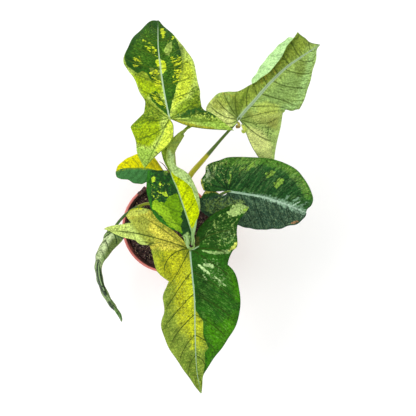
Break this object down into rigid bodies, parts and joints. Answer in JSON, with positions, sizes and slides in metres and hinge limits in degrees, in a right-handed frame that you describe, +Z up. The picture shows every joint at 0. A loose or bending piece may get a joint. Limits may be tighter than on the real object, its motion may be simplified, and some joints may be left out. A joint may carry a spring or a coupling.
{
  "type": "potted arrowhead plant",
  "caption": "Variegated arrowhead plant with large arrow-shaped leaves on thin petioles, standing in a plain round tapered nursery pot of soil",
  "frame": {"origin": "middle of the pot's flat underside", "axes": "+Z up along the pot's axis; +X to the right and +Y away from the viewer of the plan view; the longest leaves reach along Y"},
  "size_m": [0.2669, 0.4164, 0.3106],
  "materials": {
    "pot": "plain moulded plastic, satin",
    "soil": "loose damp peat, matt",
    "stem": "smooth green plant tissue",
    "blade_upper_left": "leaf tissue with a soft waxy sheen",
    "blade_upper_right": "leaf tissue with a soft waxy sheen",
    "blade_right": "leaf tissue with a soft waxy sheen",
    "blade_front": "leaf tissue with a soft waxy sheen",
    "blade_centre": "leaf tissue with a soft waxy sheen",
    "blade_left": "leaf tissue with a soft waxy sheen",
    "blade_drooping": "leaf tissue with a soft waxy sheen",
    "petiole": "smooth green plant tissue"
  },
  "bodies": {
    "root": {"pot": "pot", "soil": "soil", "stem": "stem", "blade_upper_left": "blade_upper_left", "blade_upper_right": "blade_upper_right", "blade_right": "blade_right", "blade_front": "blade_front", "blade_centre": "blade_centre", "blade_left": "blade_left", "blade_drooping": "blade_drooping", "petiole_upper_left": "petiole", "petiole_upper_right": "petiole", "petiole_right": "petiole", "petiole_front": "petiole", "petiole_centre": "petiole", "petiole_left": "petiole", "petiole_drooping": "petiole"}
  },
  "joints": []
}
